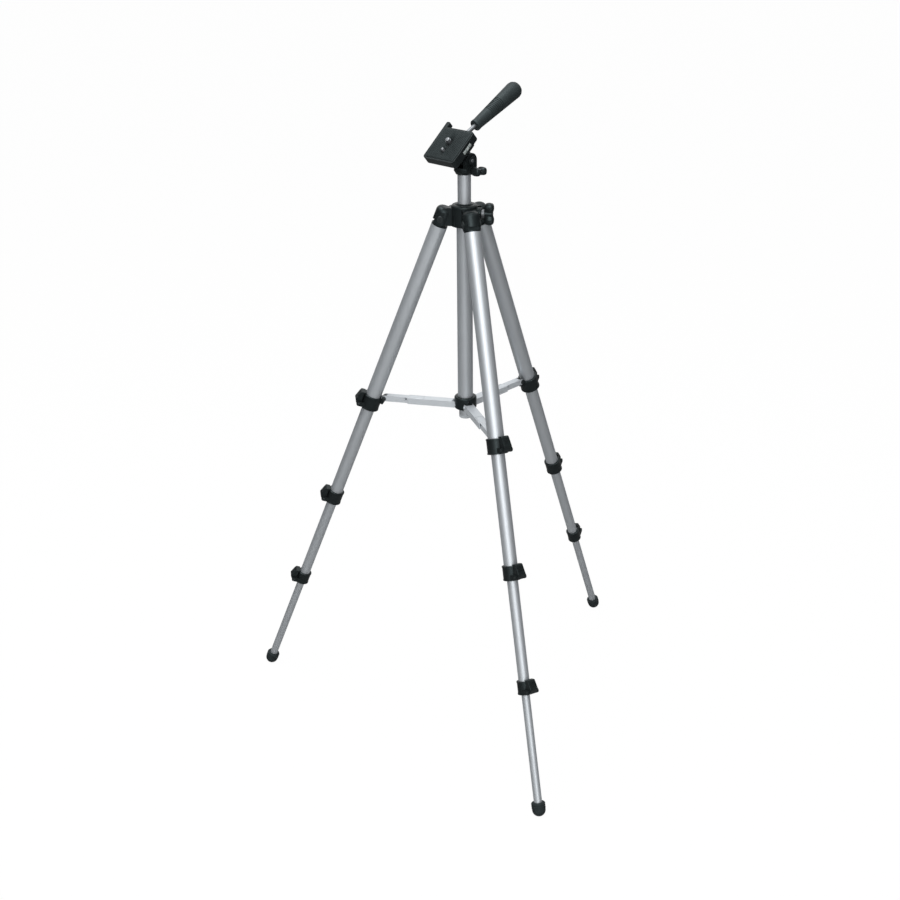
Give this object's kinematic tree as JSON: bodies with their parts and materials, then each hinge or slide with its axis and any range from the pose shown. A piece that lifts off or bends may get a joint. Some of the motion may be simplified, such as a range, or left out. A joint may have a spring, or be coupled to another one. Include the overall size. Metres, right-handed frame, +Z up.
{
  "type": "camera tripod",
  "caption": "folding camera tripod with nested flip-lock leg tubes, spreader struts, sliding centre column and a pan and tilt head with a handle",
  "frame": {"origin": "on the centre column axis at floor level", "axes": "+Z up along the column, -Y along the front leg"},
  "size_m": [0.4998, 0.4351, 0.7888],
  "materials": {
    "tube_aluminium": "satin anodised",
    "strut_aluminium": "pressed sheet, satin",
    "moulded_black": "fine-grained moulding",
    "lever_black": "smooth moulding",
    "foot_rubber": "matt rubber",
    "plug_grey": "plain moulding",
    "bright_steel": "turned and plated",
    "black_steel": "turned and blackened",
    "pad_rubber": "ribbed matt rubber",
    "vial_glass": "clear tube with tinted liquid",
    "grip_rubber": "soft matt grip"
  },
  "bodies": {
    "crown": {"crown": "moulded_black", "leg_hinge_pins": "black_steel", "guide_tube": "tube_aluminium"},
    "leg_1": {"leg_1_cap": "moulded_black", "leg_1_upper_tube": "tube_aluminium", "leg_1_collar_1": "moulded_black"},
    "leg_1_section_2": {"leg_1_tube_2": "tube_aluminium", "leg_1_collar_2": "moulded_black"},
    "leg_1_section_3": {"leg_1_tube_3": "tube_aluminium", "leg_1_collar_3": "moulded_black"},
    "leg_1_section_4": {"leg_1_tube_4": "tube_aluminium", "leg_1_foot": "foot_rubber"},
    "leg_1_lever_1": {"leg_1_lever_1": "lever_black"},
    "leg_1_lever_2": {"leg_1_lever_2": "lever_black"},
    "leg_1_lever_3": {"leg_1_lever_3": "lever_black"},
    "strut_1_inner": {"strut_1_inner": "strut_aluminium"},
    "strut_1_outer": {"strut_1_outer": "strut_aluminium"},
    "leg_2": {"leg_2_cap": "moulded_black", "leg_2_upper_tube": "tube_aluminium", "leg_2_collar_1": "moulded_black"},
    "leg_2_section_2": {"leg_2_tube_2": "tube_aluminium", "leg_2_collar_2": "moulded_black"},
    "leg_2_section_3": {"leg_2_tube_3": "tube_aluminium", "leg_2_collar_3": "moulded_black"},
    "leg_2_section_4": {"leg_2_tube_4": "tube_aluminium", "leg_2_foot": "foot_rubber"},
    "leg_2_lever_1": {"leg_2_lever_1": "lever_black"},
    "leg_2_lever_2": {"leg_2_lever_2": "lever_black"},
    "leg_2_lever_3": {"leg_2_lever_3": "lever_black"},
    "strut_2_inner": {"strut_2_inner": "strut_aluminium"},
    "strut_2_outer": {"strut_2_outer": "strut_aluminium"},
    "leg_3": {"leg_3_cap": "moulded_black", "leg_3_upper_tube": "tube_aluminium", "leg_3_collar_1": "moulded_black"},
    "leg_3_section_2": {"leg_3_tube_2": "tube_aluminium", "leg_3_collar_2": "moulded_black"},
    "leg_3_section_3": {"leg_3_tube_3": "tube_aluminium", "leg_3_collar_3": "moulded_black"},
    "leg_3_section_4": {"leg_3_tube_4": "tube_aluminium", "leg_3_foot": "foot_rubber"},
    "leg_3_lever_1": {"leg_3_lever_1": "lever_black"},
    "leg_3_lever_2": {"leg_3_lever_2": "lever_black"},
    "leg_3_lever_3": {"leg_3_lever_3": "lever_black"},
    "strut_3_inner": {"strut_3_inner": "strut_aluminium"},
    "strut_3_outer": {"strut_3_outer": "strut_aluminium"},
    "hub": {"spreader_hub": "moulded_black"},
    "column": {"centre_column": "tube_aluminium", "column_end_plug": "plug_grey"},
    "column_knob": {"column_lock_knob": "lever_black"},
    "pan": {"head_base": "moulded_black"},
    "pan_knob": {"pan_lock_knob": "lever_black"},
    "tilt": {"tilt_body": "moulded_black", "tilt_axle": "black_steel", "platform": "moulded_black", "platform_pad": "pad_rubber", "level_vial": "vial_glass"},
    "screw": {"camera_screw": "bright_steel"},
    "locator": {"locating_pin": "bright_steel"},
    "handle": {"handle_rod": "bright_steel", "handle_grip": "grip_rubber"}
  },
  "joints": [
    {"name": "leg_1_fold", "type": "hinge", "parent": "crown", "child": "leg_1", "pos_m": [0, -0.0265, 0.6439], "axis": [1, 0, 0], "range_deg": [0, 21.67]},
    {"name": "leg_1_slide_2", "type": "slide", "parent": "leg_1", "child": "leg_1_section_2", "axis": [0, 0.3693, 0.9293], "range_m": [-0.05, 0.122]},
    {"name": "leg_1_slide_3", "type": "slide", "parent": "leg_1_section_2", "child": "leg_1_section_3", "axis": [0, 0.3693, 0.9293], "range_m": [-0.05, 0.111]},
    {"name": "leg_1_slide_4", "type": "slide", "parent": "leg_1_section_3", "child": "leg_1_section_4", "axis": [0, 0.3693, 0.9293], "range_m": [-0.05, 0.118]},
    {"name": "leg_1_lever_1_flip", "type": "hinge", "parent": "leg_1", "child": "leg_1_lever_1", "pos_m": [0.00581, -0.13601, 0.40721], "axis": [0.9272, 0.3481, -0.1383], "range_deg": [0, 100]},
    {"name": "leg_1_lever_2_flip", "type": "hinge", "parent": "leg_1_section_2", "child": "leg_1_lever_2", "pos_m": [0.00521, -0.18906, 0.26968], "axis": [0.9272, 0.3481, -0.1383], "range_deg": [0, 100]},
    {"name": "leg_1_lever_3_flip", "type": "hinge", "parent": "leg_1_section_3", "child": "leg_1_lever_3", "pos_m": [0.00461, -0.23742, 0.14395], "axis": [0.9272, 0.3481, -0.1383], "range_deg": [0, 100]},
    {"name": "strut_1_inner_turn", "type": "hinge", "parent": "hub", "child": "strut_1_inner", "pos_m": [0, -0.0126, 0.41237], "axis": [1, 0, 0], "range_deg": [0, 90]},
    {"name": "strut_1_outer_turn", "type": "hinge", "parent": "leg_1", "child": "strut_1_outer", "pos_m": [0, -0.10322, 0.41237], "axis": [1, 0, 0], "range_deg": [0, 68.33]},
    {"name": "leg_2_fold", "type": "hinge", "parent": "crown", "child": "leg_2", "pos_m": [0.02295, 0.01325, 0.6439], "axis": [-0.5, 0.866, 0], "range_deg": [0, 21.67]},
    {"name": "leg_2_slide_2", "type": "slide", "parent": "leg_2", "child": "leg_2_section_2", "axis": [-0.3198, -0.1846, 0.9293], "range_m": [-0.05, 0.122]},
    {"name": "leg_2_slide_3", "type": "slide", "parent": "leg_2_section_2", "child": "leg_2_section_3", "axis": [-0.3198, -0.1846, 0.9293], "range_m": [-0.05, 0.111]},
    {"name": "leg_2_slide_4", "type": "slide", "parent": "leg_2_section_3", "child": "leg_2_section_4", "axis": [-0.3198, -0.1846, 0.9293], "range_m": [-0.05, 0.118]},
    {"name": "leg_2_lever_1_flip", "type": "hinge", "parent": "leg_2", "child": "leg_2_lever_1", "pos_m": [0.11489, 0.07303, 0.40721], "axis": [-0.7651, 0.6289, -0.1383], "range_deg": [0, 100]},
    {"name": "leg_2_lever_2_flip", "type": "hinge", "parent": "leg_2_section_2", "child": "leg_2_lever_2", "pos_m": [0.16113, 0.09904, 0.26968], "axis": [-0.7651, 0.6289, -0.1383], "range_deg": [0, 100]},
    {"name": "leg_2_lever_3_flip", "type": "hinge", "parent": "leg_2_section_3", "child": "leg_2_lever_3", "pos_m": [0.20331, 0.1227, 0.14395], "axis": [-0.7651, 0.6289, -0.1383], "range_deg": [0, 100]},
    {"name": "strut_2_inner_turn", "type": "hinge", "parent": "hub", "child": "strut_2_inner", "pos_m": [0.01091, 0.0063, 0.41237], "axis": [-0.5, 0.866, 0], "range_deg": [0, 90]},
    {"name": "strut_2_outer_turn", "type": "hinge", "parent": "leg_2", "child": "strut_2_outer", "pos_m": [0.08939, 0.05161, 0.41237], "axis": [-0.5, 0.866, 0], "range_deg": [0, 68.33]},
    {"name": "leg_3_fold", "type": "hinge", "parent": "crown", "child": "leg_3", "pos_m": [-0.02295, 0.01325, 0.6439], "axis": [-0.5, -0.866, 0], "range_deg": [0, 21.67]},
    {"name": "leg_3_slide_2", "type": "slide", "parent": "leg_3", "child": "leg_3_section_2", "axis": [0.3198, -0.1846, 0.9293], "range_m": [-0.05, 0.122]},
    {"name": "leg_3_slide_3", "type": "slide", "parent": "leg_3_section_2", "child": "leg_3_section_3", "axis": [0.3198, -0.1846, 0.9293], "range_m": [-0.05, 0.111]},
    {"name": "leg_3_slide_4", "type": "slide", "parent": "leg_3_section_3", "child": "leg_3_section_4", "axis": [0.3198, -0.1846, 0.9293], "range_m": [-0.05, 0.118]},
    {"name": "leg_3_lever_1_flip", "type": "hinge", "parent": "leg_3", "child": "leg_3_lever_1", "pos_m": [-0.12069, 0.06298, 0.40721], "axis": [-0.1621, -0.977, -0.1383], "range_deg": [0, 100]},
    {"name": "leg_3_lever_2_flip", "type": "hinge", "parent": "leg_3_section_2", "child": "leg_3_lever_2", "pos_m": [-0.16634, 0.09002, 0.26968], "axis": [-0.1621, -0.977, -0.1383], "range_deg": [0, 100]},
    {"name": "leg_3_lever_3_flip", "type": "hinge", "parent": "leg_3_section_3", "child": "leg_3_lever_3", "pos_m": [-0.20792, 0.11472, 0.14395], "axis": [-0.1621, -0.977, -0.1383], "range_deg": [0, 100]},
    {"name": "strut_3_inner_turn", "type": "hinge", "parent": "hub", "child": "strut_3_inner", "pos_m": [-0.01091, 0.0063, 0.41237], "axis": [-0.5, -0.866, 0], "range_deg": [0, 90]},
    {"name": "strut_3_outer_turn", "type": "hinge", "parent": "leg_3", "child": "strut_3_outer", "pos_m": [-0.08939, 0.05161, 0.41237], "axis": [-0.5, -0.866, 0], "range_deg": [0, 68.33]},
    {"name": "hub_slide", "type": "slide", "parent": "crown", "child": "hub", "axis": [0, 0, 1], "range_m": [0, 0.0801]},
    {"name": "column_slide", "type": "slide", "parent": "crown", "child": "column", "axis": [0, 0, 1], "range_m": [0, 0.19]},
    {"name": "column_knob_turn", "type": "hinge", "parent": "crown", "child": "column_knob", "pos_m": [0, 0, 0.6507], "axis": [0.866, -0.5, 0], "range_deg": [0, 270]},
    {"name": "pan_turn", "type": "hinge", "parent": "column", "child": "pan", "pos_m": [0, 0, 0.6964], "axis": [0, 0, 1], "continuous": true},
    {"name": "pan_knob_turn", "type": "hinge", "parent": "pan", "child": "pan_knob", "pos_m": [0, 0, 0.7023], "axis": [0.4563, -0.8898, 0], "range_deg": [0, 270]},
    {"name": "tilt_turn", "type": "hinge", "parent": "pan", "child": "tilt", "pos_m": [0, 0, 0.7128], "axis": [0.4563, -0.8898, 0], "range_deg": [-70.8, 49.2]},
    {"name": "screw_turn", "type": "hinge", "parent": "tilt", "child": "screw", "pos_m": [-0.02066, -0.01059, 0.73556], "axis": [-0.5814, -0.2982, 0.757], "continuous": true},
    {"name": "locator_press", "type": "slide", "parent": "tilt", "child": "locator", "axis": [-0.5814, -0.2982, 0.757], "range_m": [-0.0036, 0], "stiffness_N_per_m": 200},
    {"name": "handle_twist", "type": "hinge", "parent": "tilt", "child": "handle", "pos_m": [-0.01437, -0.00063, 0.72794], "axis": [0.7942, 0.4073, 0.4509], "range_deg": [0, 270]}
  ],
  "couplings": [
    {"joint": "strut_1_inner_turn", "follows": "leg_1_fold", "ratio": 4.1528},
    {"joint": "strut_1_outer_turn", "follows": "leg_1_fold", "ratio": 3.1528},
    {"joint": "leg_2_fold", "follows": "leg_1_fold", "ratio": 1},
    {"joint": "strut_2_inner_turn", "follows": "leg_1_fold", "ratio": 4.1528},
    {"joint": "strut_2_outer_turn", "follows": "leg_1_fold", "ratio": 3.1528},
    {"joint": "leg_3_fold", "follows": "leg_1_fold", "ratio": 1},
    {"joint": "strut_3_inner_turn", "follows": "leg_1_fold", "ratio": 4.1528},
    {"joint": "strut_3_outer_turn", "follows": "leg_1_fold", "ratio": 3.1528},
    {"joint": "hub_slide", "follows": "leg_1_fold", "m_per_rad": 0.21152}
  ]
}
